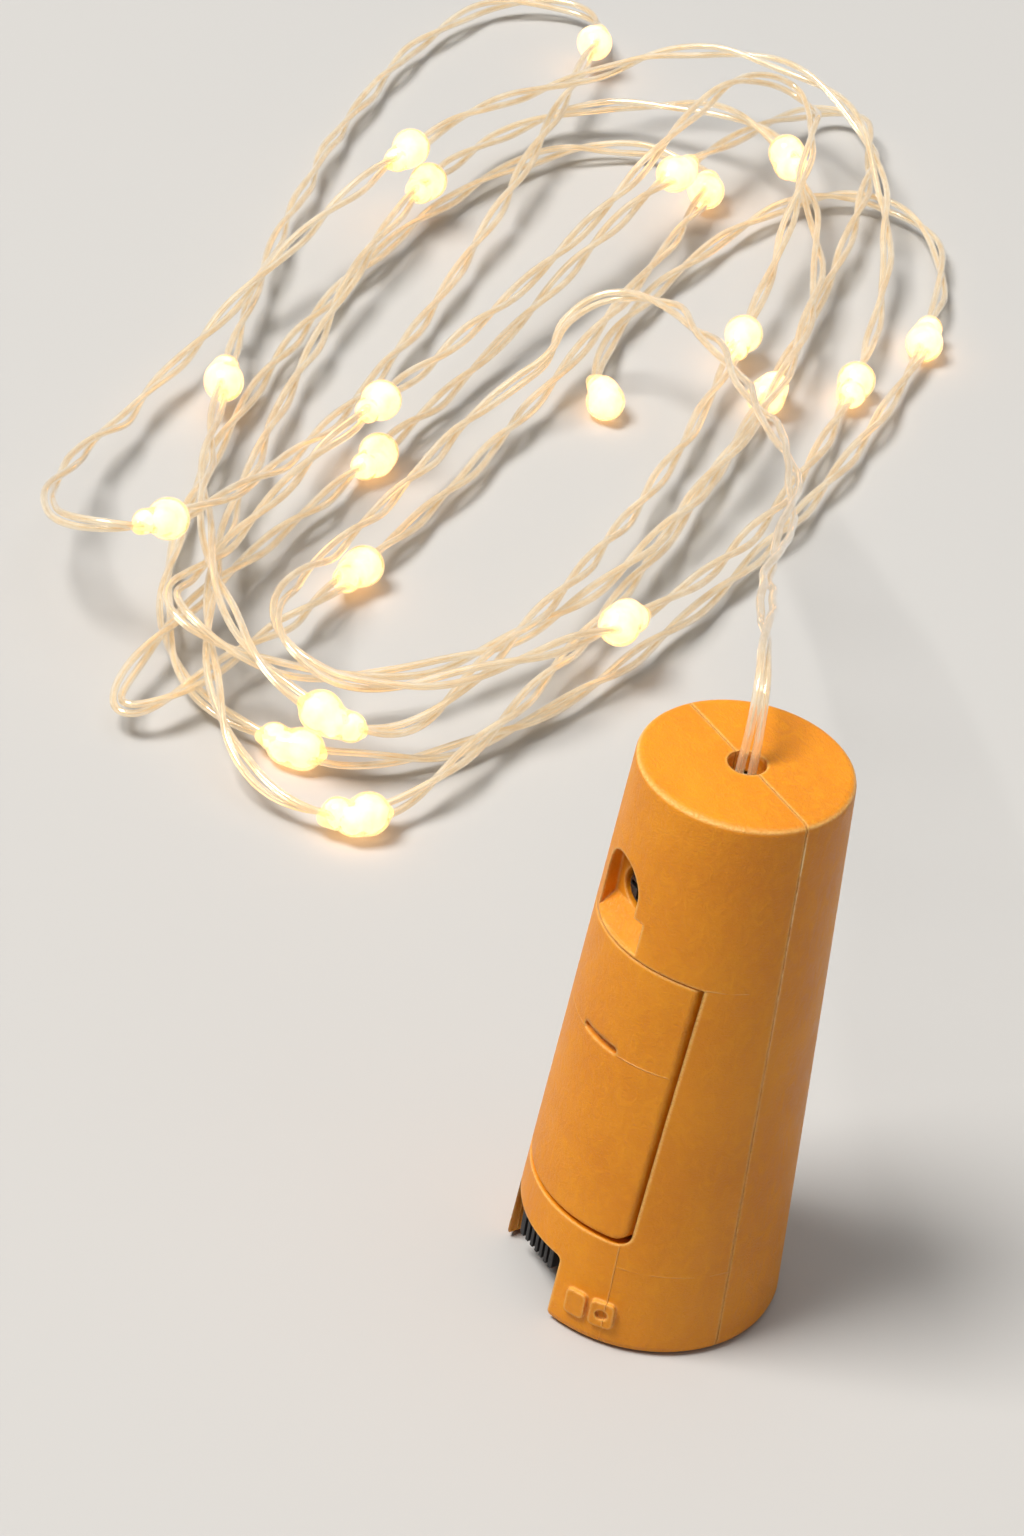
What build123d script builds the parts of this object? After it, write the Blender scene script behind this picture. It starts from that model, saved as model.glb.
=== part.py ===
from build123d import *
from math import atan2, cos, degrees, hypot, pi, radians, sin, sqrt, tan
import os

# Cork: a hollow cone that stands on its wide end, split down the middle
cork_top_diameter = 18.0
cork_base_diameter = 24.0
wall = 1.5
top_wall = 2.0
top_round = 0.6
base_round = 0.9
rim_flats = 3
seam_gap = 0.08
wire_hole_diameter = 3.3

# Clearances shared by the pieces
fit_gap = 0.1
run_gap = 0.25
slot_gap = 0.15
overrun = 2.0

# Button cells, their contacts and the rooms that hold them, from the floor up
skirt_depth = 6.8
end_wall = 1.3
switch_room = 4.5
divider = 1.0
cell_count = 3
cell_diameter = 11.6
cell_height = 5.4
cell_cap_diameter = 10.0
cell_cap_height = 0.5
cell_edge = 0.3
cell_forward = 1.5
contact_diameter = 10.0
contact_thickness = 0.3
contact_tab_width = 1.0
spring_height = 4.1
spring_wire = 0.7
spring_low_radius = 3.9
spring_high_radius = 2.4
spring_turns = 3
dome_height = 1.6
dome_diameter = 4.0

# Battery door: swings out about its lower edge
door_opening_low = 10.9
door_opening_width = 15.7
door_side_gap = 0.4
door_low_gap = 0.35
door_top_gap = 0.15
door_seat_gap = 0.15
door_corner = 1.3
door_edge_round = 0.4
hinge_inset = 0.8
hinge_height = 11.4
hook_inner = 1.0
hook_outer = 3.0
hook_thickness = 1.0
hook_gap = 0.2
hook_drop = 1.3
hook_root = 1.75
tongue_center = 5.0
tongue_width = 1.2
tongue_thickness = 0.5
tongue_depth = 0.8
thumb_slot_center = 0.95
thumb_slot_drop = 9.45
thumb_slot_length = 4.3
thumb_slot_width = 0.75
thumb_slot_depth = 0.6
rail_inner = 6.3
rail_outer = 8.3
rail_depth = 1.0

# Screw well above the door, and the screw that closes the two shells
well_center = -1.3
well_width = 5.5
well_arch_rise = 1.2
ramp_center = -0.55
ramp_width = 6.1
ramp_drop = 0.3
well_depth = 2.1
well_side_drop = 1.9
scoop_drop = 3.5
scoop_depth = 0.4
scoop_gap = 0.15
well_lining = 1.2
screw_rise = 5.2
screw_head_diameter = 3.5
screw_head_thickness = 1.3
screw_head_sink = 1.45
screw_shank_diameter = 2.0
screw_reach = 3.5
screw_slot_width = 0.5
screw_slot_depth = 0.6
screw_slot_length = 2.4
head_clearance = 0.15
shank_clearance = 0.15
pilot_clearance = 0.05
tube_diameter = 5.2
boss_diameter = 4.8

# Skirt notch, switch and its marks
notch_left = 7.1
notch_right = 2.9
notch_corner = 0.5
notch_flare = 0.9
switch_center = -1.7
switch_travel = 2.0
knob_width = 5.2
knob_inset = 2.3
knob_depth = 1.6
knob_low = 2.2
knob_rib_count = 7
knob_rib_depth = 0.3
knob_round = 0.4
slider_plate = 1.2
slider_drop = 0.3
stem_width = 2.4
stem_inset = 1.0
flange_gap = 0.25
flange_end = 0.3
flange_lift = 0.55
flange_thickness = 1.4
housing_width = 7.6
housing_inset = 4.6
housing_depth = 3.8
housing_height = 2.9
housing_wall = 0.35
housing_cover = 0.5
terminal_count = 3
terminal_pitch = 2.4
terminal_width = 0.8
terminal_depth = 0.5
terminal_height = 0.8
post_width = 0.9
post_height = 2.4
mark_height = 3.5
mark_tall = 2.6
mark_proud = 0.35
mark_sink = 0.5
mark_round = 0.5
pad_angle = 26.5
pad_width = 1.9
ring_angle = 38.5
ring_width = 2.2
ring_hole_diameter = 1.1

# Driver board in the narrow end, and the wires inside
board_center = 4.1
board_thickness = 1.0
board_front = 2.5
board_margin = 1.36
board_head = 3.3
groove_depth = 0.6
groove_wall = 0.6
groove_low = 4.0
back_groove_length = 8.0
front_groove_length = 5.0
chip_low = 4.1
chip_length = 2.6
chip_width = 3.0
chip_center = 1.0
chip_thickness = 1.1
resistor_low = 6.6
resistor_length = 3.2
resistor_width = 1.6
resistor_thickness = 0.55
cradle_low = 2.5
cradle_pitch = 11.0
cradle_thickness = 1.0
wire_diameter = 0.6
wire_bend = 1.2
wire_wide_bend = 3.0
wire_level = 1.5
wire_wall_gap = 0.35
black_turn_back = 1.0
red_side = 2.5
red_back = 2.0
knot_diameter = 4.8
knot_height = 3.6
knot_edge = 1.0
tail_spacing = 0.9
tail_drop = 1.4
tail_gap = 2.2

# String of lights: a cord of two clear wires with a resin drop over each lamp
cord_diameter = 1.2
drop_diameter = 4.2
drop_length = 6.6
drop_waist_share = 0.8
drop_shoulder_share = 0.4
drop_neck_share = 0.45
chip_block_length = 1.0
chip_block_width = 0.8
cord_sides = 6
drop_sides = 8
lay_angle = 50.0
lead_landing = 5.0
landing_height = 6.5
arc_share = 0.45

# Route of the lead in the lie of the string: across, behind the cork, and up
lead_route = [
    (0.0, 0.0, 58.2), (-0.1, 3.4, 61.6), (-0.6, 11.4, 59.4), (-1.2, 24.7, 52.9), (-1.6, 40.8, 46.0),
    (-1.1, 58.9, 39.2), (-0.7, 74.3, 33.5), (-2.0, 89.2, 28.5), (-4.7, 102.4, 24.1), (-8.2, 115.0, 19.9),
    (-11.6, 126.0, 17.1), (-15.3, 134.2, 15.0), (-18.4, 139.4, 13.7), (-22.2, 142.6, 12.4),
    (-26.6, 142.6, 11.0), (-29.9, 138.8, 9.3),
]

# Turns of the coil: where each run starts, and how far it bows outward on its way to the next
turn_ends = [
    (-33, 129, 3), (-50, 62, 34), (-17, 208, 21),
    (-67, 72, 9), (-40, 230, 26),
    (-38, 58, 12), (-13, 207, 3),
    (-60, 66, 37), (-27, 203, 24),
    (-39, 49, 14), (-6, 216, 4),
    (-62, 58, 9), (-21, 196, 27),
    (-45, 60, 24), (0, 197, 8),
    (-24, 137, 0),
]
long_run = 90.0
run_points = 7
short_run_points = 3
fullness_share = 0.7

# Lamps by place along the coil's points, with one more at the very end
drop_stations = [
    6.1, 8.2, 13.8, 18.8, 23.8, 29.1, 32.0, 36.2, 43.2, 52.0,
    55.2, 60.4, 63.9, 69.2, 71.2, 76.4, 80.1, 88.1, 93.0,
]

# How the turns settle on each other
lay_gap = 0.7
lay_margin = 0.35
lay_slope_share = 0.3
settled = 0.01
least_short = 0.001
least_weight_share = 0.03
lay_laps = 200
lowering_laps = 170
lowering_pace = 30
samples_per_point = 12
own_reach = 6.0

# Levels worked out from the sizes above
switch_floor = skirt_depth + end_wall
bay_floor = switch_floor + switch_room
bay_low = bay_floor + divider
cells_low = bay_low + contact_thickness + spring_height
cells_high = cells_low + cell_count * cell_height
positive_low = cells_high + dome_height
bay_high = positive_low + contact_thickness + fit_gap
room_low = bay_high + divider
screw_height = room_low + screw_rise
tail_level = screw_height + tube_diameter / 2 + tail_gap
knot_low = tail_level + tail_drop
knot_top = knot_low + knot_height
inside_top = knot_top + fit_gap
cork_height = inside_top + top_wall
well_arch_height = screw_height + well_arch_rise
well_side_low = screw_height - well_side_drop
ramp_high = screw_height - ramp_drop
scoop_low = screw_height - scoop_drop
door_opening_high = scoop_low - scoop_gap
thumb_slot_height = door_opening_high - thumb_slot_drop
tongue_low = room_low + hook_gap
board_length = inside_top - room_low - board_head
door_thickness = wall - door_seat_gap
door_swing = door_opening_high - hinge_height
knob_center = switch_center - switch_travel / 2
flange_half = housing_width / 2 - housing_wall - switch_travel / 2 - flange_gap
board_inner = board_center - board_thickness / 2
board_outer = board_center + board_thickness / 2
wire_height = room_low + wire_level

# Places in front of the axis, worked out from the cork's radius at its foot
hinge_forward = cork_base_diameter / 2 - hinge_inset
knob_forward = cork_base_diameter / 2 - knob_inset
housing_front = cork_base_diameter / 2 - housing_inset
housing_back = housing_front - housing_depth
stem_front = housing_front - stem_inset
stem_back = housing_back + stem_inset
terminal_forward = (housing_front + housing_back) / 2


def block(left, right, front, back, low, high):
    """A box between two corners."""
    size = Box(right - left, back - front, high - low, align=(Align.MIN, Align.MIN, Align.MIN))
    return Pos(left, front, low) * size


def post(diameter, low, high, x=0, y=0):
    """An upright cylinder."""
    bottom = (Align.CENTER, Align.CENTER, Align.MIN)
    return Pos(x, y, low) * Cylinder(diameter / 2, high - low, align=bottom)


def rod(diameter, front, back, x, z):
    """A cylinder that runs from front to back."""
    bottom = (Align.CENTER, Align.CENTER, Align.MIN)
    return Pos(x, front, z) * (Rot(-90, 0, 0) * Cylinder(diameter / 2, back - front, align=bottom))


def cork_radius(height):
    """Outer radius of the cork at a height."""
    slope = (cork_base_diameter - cork_top_diameter) / 2 / cork_height
    return cork_base_diameter / 2 - slope * height


def edge_place(height, margin, side):
    """Distance from the middle plane to the cork's inner wall, less a margin, at a distance to one side."""
    return sqrt((cork_radius(height) - wall - margin) ** 2 - side ** 2)


def cork_cone(inset, low, high):
    """The cork's cone between two heights, drawn in by an inset."""
    bottom = (Align.CENTER, Align.CENTER, Align.MIN)
    wide, narrow = cork_radius(low) - inset, cork_radius(high) - inset
    return Pos(0, 0, low) * Cone(wide, narrow, high - low, align=bottom)


def cork_band(outer_inset, inner_inset, low, high):
    """A curved wall between two insets of the cork's cone."""
    return cork_cone(outer_inset, low, high) - cork_cone(inner_inset, low - overrun, high + overrun)


def front_half():
    """Everything in front of the seam."""
    reach = cork_base_diameter
    return block(-reach, reach, -reach, -seam_gap / 2, -overrun, cork_height + overrun)


def back_half():
    """Everything behind the seam."""
    return Rot(0, 0, 180) * front_half()


def forward_prism(outline):
    """An outline in the upright plane through the axis, drawn out to the front."""
    return extrude(Plane.XZ * outline, amount=cork_base_diameter)


def side_prism(points):
    """An outline of (back, up) points, drawn out to both sides."""
    outline = make_face(Plane.YZ * Polyline(*points, close=True))
    return extrude(outline, amount=cork_base_diameter, both=True)


def rim_points(radius, height, rounding, start):
    """Points round a rim of the cork, in narrow flats, for a quarter turn from a starting angle."""
    points = []
    for step in range(rim_flats + 1):
        angle = radians(start + 90 * step / rim_flats)
        points.append((radius - rounding + rounding * cos(angle), height + rounding * sin(angle)))
    return points


def cork_blank():
    """The whole cork with its rooms, before it is split."""
    foot = rim_points(cork_radius(base_round), base_round, base_round, -90)
    head = rim_points(cork_radius(cork_height - top_round), cork_height - top_round, top_round, 0)
    profile = make_face(Plane.XZ * Polyline((0, 0), *foot, *head, (0, cork_height), close=True))
    body = revolve(profile, Axis.Z)
    body -= cork_cone(wall, -overrun, skirt_depth)
    body -= cork_cone(wall, switch_floor, bay_floor)
    body -= cork_cone(wall, bay_low, bay_high)
    body -= cork_cone(wall, room_low, inside_top)
    return body - post(wire_hole_diameter, inside_top - overrun, cork_height + overrun)


def door_outline(shrink, low):
    """Door shape seen from the front, with round lower corners."""
    width = door_opening_width - 2 * shrink
    top = door_opening_high + overrun
    outline = Pos(0, (low + top) / 2) * Rectangle(width, top - low)
    return fillet(outline.vertices().sort_by(Axis.Y)[:2], door_corner)


def door_swing_drum(radius):
    """The drum about the hinge that the door's top edge follows as it opens."""
    drum = Rot(0, 90, 0) * Cylinder(radius, cork_base_diameter)
    return Pos(0, -hinge_forward, hinge_height) * drum


def door_blank(shrink, low, outer_inset, inner_inset, radius):
    """The curved plate that the opening is cut by and the door is made from."""
    band = cork_band(outer_inset, inner_inset, low, door_opening_high + overrun)
    return band & forward_prism(door_outline(shrink, low)) & door_swing_drum(radius)


def well_floor():
    """Distance in front of the axis of the screw well's upright floor."""
    return cork_radius(well_arch_height) - well_depth


def head_seat():
    """Distance in front of the axis of the seat under the screw's head."""
    return well_floor() - screw_head_sink


def well_outline(grow):
    """Arch of the screw well seen from the front, on the wider foot that the ramp fills."""
    width = well_width + 2 * grow
    arch = Pos(well_center, well_arch_height) * Circle(width / 2)
    legs = Rectangle(width, well_arch_height - scoop_low)
    legs = Pos(well_center, (scoop_low + well_arch_height) / 2) * legs
    foot = Rectangle(ramp_width + 2 * grow, ramp_high - scoop_low)
    foot = Pos(ramp_center, (scoop_low + ramp_high) / 2) * foot
    return arch + legs + foot


def screw_well():
    """The recess over the screw: an arch with an upright floor and a scoop below it."""
    far, floor = -cork_base_diameter, -well_floor()
    lip = scoop_depth - cork_radius(scoop_low)
    depth = [
        (far, cork_height), (floor, cork_height), (floor, well_side_low), (lip, scoop_low), (far, scoop_low),
    ]
    return forward_prism(well_outline(0)) & side_prism(depth)


def divider_notches():
    """Clearance in the lower floor for the swinging hooks of the door."""
    tip = door_opening_low - hook_drop
    inner = sqrt((cork_radius(tip) - wall - hook_gap - hook_thickness) ** 2 - hook_outer ** 2)
    back = hypot(hinge_forward - inner, hinge_height - tip) + run_gap - hinge_forward
    notch = block(hook_inner - run_gap, hook_outer + run_gap, -cork_base_diameter, back,
                  bay_floor - overrun / 2, bay_low + overrun / 2)
    inside = cork_cone(wall, bay_floor - overrun, bay_low + overrun)
    return (notch & inside) + (mirror(notch, about=Plane.YZ) & inside)


def skirt_notch():
    """Finger notch in the skirt, with flared foot corners."""
    width = notch_left + notch_right
    center = (notch_right - notch_left) / 2
    opening = Pos(center, (skirt_depth - overrun) / 2) * Rectangle(width, skirt_depth + overrun)
    opening = fillet(opening.vertices().sort_by(Axis.Y)[2:], notch_corner)
    for side in (-1, 1):
        corner = center + side * (width / 2 + notch_flare / 2)
        flare = Pos(corner, notch_flare / 2) * Rectangle(notch_flare, notch_flare)
        opening += flare - Pos(center + side * (width / 2 + notch_flare), notch_flare) * Circle(notch_flare)
    return forward_prism(opening) - block(
        -cork_base_diameter, cork_base_diameter, -knob_forward / 2, overrun, -overrun, cork_height)


def switch_slot():
    """Slot in the end wall that the slider's stem travels in."""
    left = knob_center - stem_width / 2 - run_gap
    right = knob_center + switch_travel + stem_width / 2 + run_gap
    return block(left, right, -stem_front - run_gap, -stem_back + run_gap,
                 skirt_depth - overrun, switch_floor + overrun)


def skirt_marks():
    """Two raised marks beside the notch: a plain pad and a ring."""
    marks = []
    for angle, width, hole in ((pad_angle, pad_width, 0), (ring_angle, ring_width, ring_hole_diameter)):
        outline = fillet(Rectangle(width, mark_tall).vertices(), mark_round)
        if hole:
            outline -= Circle(hole / 2)
        pad = extrude(Plane.XZ * outline, amount=mark_proud + mark_sink)
        forward = cork_radius(mark_height) - mark_sink
        marks.append(Rot(0, 0, angle) * (Pos(0, -forward, mark_height) * pad))
    return marks[0] + marks[1]


def groove(front, back, low, length):
    """A rib with a groove that one edge of the board slides into."""
    half = board_thickness / 2 + fit_gap
    outer = half + groove_wall
    rib = block(board_center - outer, board_center + outer, front, back, low, low + length)
    return rib & cork_cone(wall / 2, low - overrun, low + length + overrun)


def board_back():
    """Distance behind the middle plane of the board's back edge."""
    return edge_place(room_low + board_length, board_margin, board_outer)


def black_back():
    """Distance behind the middle plane of the black wire where it runs up past the cells."""
    return edge_place(room_low, wire_diameter / 2 + wire_wall_gap, board_center)


def board_space():
    """The board with its clearance."""
    low = room_low - fit_gap
    return block(board_inner - fit_gap, board_outer + fit_gap, -board_front - fit_gap, board_back() + fit_gap,
                 low, low + board_length + 2 * fit_gap)


def front_shell():
    """Front half of the cork: door opening, screw well, skirt notch and switch posts."""
    shell = cork_blank() & front_half()
    shell -= door_blank(0, door_opening_low, -overrun, wall, door_swing)
    rails = cork_band(wall, wall + rail_depth, bay_low, bay_high) & front_half()
    for left in (rail_inner, -rail_outer):
        right = left + rail_outer - rail_inner
        shell += rails & block(left, right, -cork_base_diameter, 0, bay_low, bay_high)
    lining = forward_prism(well_outline(well_lining)) & cork_cone(wall / 2, room_low, inside_top)
    shell += lining & block(-cork_base_diameter, cork_base_diameter, -cork_base_diameter,
                            -well_floor() + well_lining, door_opening_high, inside_top)
    shell += rod(tube_diameter, -well_floor(), -seam_gap / 2, well_center, screw_height)
    groove_start = room_low + groove_low
    shell += groove(-cork_base_diameter, -board_front + groove_depth, groove_start, front_groove_length)
    aside = housing_width / 2 + fit_gap
    for left in (switch_center - aside - post_width, switch_center + aside):
        shell += block(left, left + post_width, -housing_front, -housing_back,
                       switch_floor, switch_floor + post_height)
    shell += skirt_marks()
    shell -= screw_well()
    shell -= rod(screw_head_diameter + 2 * head_clearance, -well_floor() - overrun, -head_seat(),
                 well_center, screw_height)
    shell -= rod(screw_shank_diameter + 2 * shank_clearance, -head_seat() - overrun, overrun,
                 well_center, screw_height)
    shell -= divider_notches()
    shell -= contact_tab(slot_gap)
    shell -= skirt_notch()
    shell -= switch_slot()
    return shell - board_space()


def lead_notch():
    """Way for the black wire past the floors and the cell cradles."""
    reach = wire_diameter / 2 + slot_gap
    low, high = bay_floor - overrun, room_low + overrun
    way = block(board_center - reach, board_center + reach, black_back() - reach, cork_base_diameter,
                low, high)
    return way & cork_cone(wall, low, high)


def back_shell():
    """Back half of the cork: screw boss, cell cradles and the board's groove."""
    shell = cork_blank() & back_half()
    for step in range(2):
        low = cells_low + cradle_low + step * cradle_pitch
        high = low + cradle_thickness
        rib = cork_cone(wall / 2, low, high) & back_half()
        shell += rib - post(cell_diameter + 2 * slot_gap, low - overrun, high + overrun, 0, -cell_forward)
    boss = rod(boss_diameter, seam_gap / 2, cork_radius(screw_height), well_center, screw_height)
    shell += boss & cork_cone(wall / 2, room_low, inside_top)
    groove_start = room_low + groove_low
    shell += groove(board_back() - groove_depth, cork_base_diameter, groove_start, back_groove_length)
    pilot = screw_shank_diameter + 2 * pilot_clearance
    shell -= rod(pilot, -overrun, screw_reach + overrun / 2, well_center, screw_height)
    shell -= lead_notch()
    hole = wire_diameter + 2 * slot_gap
    shell -= post(hole, bay_high - overrun, room_low + overrun, -red_side, red_back)
    return shell - board_space()


def battery_door():
    """Curved door over the cells, with hooks at its foot, tongues at its head and a thumb slot."""
    low = door_opening_low + door_low_gap
    door = door_blank(door_side_gap, low, 0, door_thickness, door_swing - door_top_gap)
    upright = [edge for edge in door.edges() if edge.bounding_box().size.Z > door_swing / 2]
    outer = [edge for edge in upright
             if hypot(edge.center().X, edge.center().Y) > cork_radius(edge.center().Z) - door_thickness / 2]
    door = fillet(outer, door_edge_round)
    slot = Pos(thumb_slot_center, thumb_slot_height) * SlotOverall(thumb_slot_length, thumb_slot_width)
    slot_low, slot_high = thumb_slot_height - overrun, thumb_slot_height + overrun
    door -= forward_prism(slot) & cork_band(-overrun, thumb_slot_depth, slot_low, slot_high)
    sink = door_thickness / 4
    hook_out = wall + hook_gap
    hook_in = hook_out + hook_thickness
    catch = cork_band(hook_out, hook_in, door_opening_low - hook_drop, low + hook_root)
    root = cork_band(door_thickness - sink, hook_in, low + fit_gap, low + hook_root)
    tongue = cork_band(door_thickness - sink, wall + tongue_depth, tongue_low, tongue_low + tongue_thickness)
    for side in (-1, 1):
        ends = sorted((side * hook_inner, side * hook_outer))
        door += (catch + root) & block(*ends, -cork_base_diameter, 0, 0, cork_height)
        left = side * tongue_center - tongue_width / 2
        door += tongue & block(left, left + tongue_width, -cork_base_diameter, 0, 0, cork_height)
    return door


def shell_screw():
    """Pan-head screw from the well into the back shell's boss."""
    head_top = -head_seat() - screw_head_thickness
    screw = rod(screw_head_diameter, head_top, -head_seat(), well_center, screw_height)
    screw = chamfer(screw.edges().filter_by(GeomType.CIRCLE).sort_by(Axis.Y)[0], screw_head_thickness / 3)
    screw += rod(screw_shank_diameter, -head_seat(), screw_reach, well_center, screw_height)
    half = screw_slot_length / 2
    thin = screw_slot_width / 2
    for across, up in ((half, thin), (thin, half)):
        screw -= block(well_center - across, well_center + across,
                       head_top - overrun, head_top + screw_slot_depth,
                       screw_height - up, screw_height + up)
    return screw


def battery_cell(number):
    """Button cell with its stepped cap below."""
    low = cells_low + number * cell_height
    can = post(cell_diameter, low + cell_cap_height, low + cell_height, 0, -cell_forward)
    can = chamfer(can.edges().filter_by(GeomType.CIRCLE), cell_edge)
    return can + post(cell_cap_diameter, low, low + 2 * cell_cap_height, 0, -cell_forward)


def contact_tab(grow):
    """Tab that takes the negative plate down to the first terminal."""
    x = switch_center - terminal_pitch
    back = -terminal_forward + terminal_depth / 2
    half = contact_tab_width / 2 + grow
    return block(x - half, x + half, back - grow, back + contact_thickness + grow,
                 bay_floor - terminal_height + fit_gap, bay_low + contact_thickness)


def negative_contact():
    """Plate under the spring, with its tab."""
    plate = post(contact_diameter, bay_low, bay_low + contact_thickness, 0, -cell_forward)
    x = switch_center - terminal_pitch
    half = contact_tab_width / 2
    arm = block(x - half, x + half, -terminal_forward + terminal_depth / 2, -cell_forward,
                bay_low, bay_low + contact_thickness)
    return plate + arm + contact_tab(0)


def negative_spring():
    """Conical spring that presses the cells against the upper contact."""
    low = bay_low + contact_thickness + spring_wire / 2
    rise = spring_height - spring_wire
    angle = degrees(atan2(spring_high_radius - spring_low_radius, rise))
    path = Helix(rise / spring_turns, rise, spring_low_radius, cone_angle=angle)
    return Pos(0, -cell_forward, low) * sweep(wire_section(path, spring_wire), path=path)


def positive_contact():
    """Plate above the cells, with a dome that touches the top one."""
    plate = post(contact_diameter, positive_low, positive_low + contact_thickness, 0, -cell_forward)
    bottom = (Align.CENTER, Align.CENTER, Align.MIN)
    dome = Cone(dome_diameter / 4, dome_diameter / 2, dome_height, align=bottom)
    return plate + Pos(0, -cell_forward, cells_high) * dome


def switch_housing():
    """Open-bottomed case that the slider's flange runs in."""
    half = housing_width / 2
    case = block(switch_center - half, switch_center + half, -housing_front, -housing_back,
                 switch_floor, switch_floor + housing_height)
    case -= block(switch_center - half + housing_wall, switch_center + half - housing_wall,
                  -housing_front + housing_wall, -housing_back - housing_wall,
                  switch_floor + housing_wall, switch_floor + housing_height + overrun)
    return case - switch_slot()


def switch_base():
    """Insulating plate that closes the housing and carries the terminals."""
    half = housing_width / 2
    low = switch_floor + housing_height
    return block(switch_center - half, switch_center + half, -housing_front, -housing_back,
                 low, low + housing_cover)


def switch_terminals():
    """Pins on the switch's base plate."""
    low = switch_floor + housing_height + housing_cover
    front = -terminal_forward - terminal_depth / 2
    pins = []
    for step in range(terminal_count):
        left = switch_center + (step - (terminal_count - 1) / 2) * terminal_pitch - terminal_width / 2
        pins.append(block(left, left + terminal_width, front, front + terminal_depth,
                          low, low + terminal_height))
    return Compound(children=pins)


def switch_slider():
    """Ribbed knob in the notch, its stem through the end wall and the flange in the housing."""
    half = knob_width / 2
    plate_top = skirt_depth - slider_drop
    front = -knob_forward
    knob = block(knob_center - half, knob_center + half, front, front + knob_depth, knob_low, plate_top)
    knob = fillet(knob.edges().filter_by(Axis.Y).sort_by(Axis.Z)[:2], knob_round)
    pitch = knob_width / knob_rib_count
    for step in range(knob_rib_count - 1):
        groove_center = knob_center - half + (step + 1) * pitch
        knob -= block(groove_center - pitch / 4, groove_center + pitch / 4,
                      front - overrun, front + knob_rib_depth,
                      knob_low - overrun, plate_top - slider_plate)
    knob += block(knob_center - half, knob_center + half, front + knob_depth, -stem_back,
                  plate_top - slider_plate, plate_top)
    stem_half = stem_width / 2
    flange_low = switch_floor + flange_lift
    knob += block(knob_center - stem_half, knob_center + stem_half, -stem_front, -stem_back,
                  plate_top, flange_low)
    knob += block(knob_center - flange_half, knob_center + flange_half,
                  -stem_front - flange_end, -stem_back + flange_end,
                  flange_low, flange_low + flange_thickness)
    return knob


def circuit_board():
    """Driver board that stands in the two grooves."""
    return block(board_inner, board_outer, -board_front, board_back(), room_low, room_low + board_length)


def control_chip():
    """Driver chip on the board's inner face."""
    low = room_low + chip_low
    half = chip_width / 2
    return block(board_inner - chip_thickness, board_inner, chip_center - half, chip_center + half,
                 low, low + chip_length)


def resistor():
    """Series resistor on the board's outer face."""
    low = room_low + resistor_low
    return block(board_outer, board_outer + resistor_thickness, chip_center - resistor_width / 2,
                 chip_center + resistor_width / 2, low, low + resistor_length)


def wire_section(path, diameter):
    """Section of a thin wire, square to the start of its path."""
    return Plane(origin=path @ 0, z_dir=path % 0) * RegularPolygon(diameter / 2, cord_sides)


def tube(points, radii, diameter):
    """A wire along straight runs joined by arcs."""
    path = FilletPolyline(*points, radius=radii)
    return sweep(wire_section(path, diameter), path=path)


def black_lead():
    """Wire from the middle terminal, up behind the cells, to the board's back edge."""
    level = switch_floor + housing_height + housing_cover + terminal_height / 2
    start = (switch_center, -terminal_forward + terminal_depth / 2, level)
    points = [start, (switch_center, -black_turn_back, level), (board_center, black_back(), level),
              (board_center, black_back(), wire_height), (board_center, board_back(), wire_height)]
    return tube(points, [wire_wide_bend, wire_bend, wire_bend], wire_diameter)


def red_lead():
    """Wire from the upper contact through its floor to the board's inner face."""
    points = [(-red_side, red_back, positive_low + contact_thickness), (-red_side, red_back, wire_height),
              (board_inner, red_back, wire_height)]
    return tube(points, [wire_bend], wire_diameter)


def string_knot():
    """Knot that stops the string from pulling out through the top."""
    knot = post(knot_diameter, knot_low, knot_top)
    return chamfer(knot.edges().filter_by(GeomType.CIRCLE), knot_edge)


def string_tails():
    """The string's two wires, from the knot to the board."""
    tails = []
    for side in (-1, 1):
        y = side * tail_spacing / 2
        points = [(0, y, knot_low), (0, y, tail_level), (board_inner, y, tail_level)]
        tails.append(tube(points, [tail_drop - fit_gap], wire_diameter))
    return Compound(children=tails)


def laid(point):
    """A point of the string's lie, turned to where the string lies behind the cork."""
    x, y, z = point
    turn = radians(lay_angle)
    return (x * cos(turn) - y * sin(turn), x * sin(turn) + y * cos(turn), z)


def coil_plan():
    """Plan points of the coil, each run bowed outward between the ends where the string turns back."""
    points = [turn_ends[0][:2]]
    for (x, y, bow), (next_x, next_y, _) in zip(turn_ends, turn_ends[1:]):
        across, along = next_x - x, next_y - y
        reach = hypot(across, along)
        steps = run_points if reach > long_run else short_run_points
        for step in range(steps):
            phase = pi * (step + 0.5) / steps
            part = (1 - cos(phase)) / 2
            aside = bow * sin(phase) ** fullness_share / reach
            points.append((x + across * part + along * aside, y + along * part - across * aside))
    points.append(turn_ends[-1][:2])
    return points


def curve_shares(t):
    """How much each of three neighbouring points counts, t of the way round the middle one."""
    return ((1 - t) ** 2 / 2, 0.5 + t - t * t, t * t / 2)


def blend(values, middle, weights):
    """Weighted middle of three neighbouring values."""
    return sum(values[middle + k - 1] * weights[k] for k in range(3))


def curve_samples(plan):
    """Points along the smooth line: (middle point, shares, x, y)."""
    xs, ys = zip(*plan)
    samples = []
    for middle in range(1, len(plan) - 1):
        for step in range(samples_per_point):
            weights = curve_shares(step / samples_per_point)
            samples.append((middle, weights, blend(xs, middle, weights), blend(ys, middle, weights)))
    return samples


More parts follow.
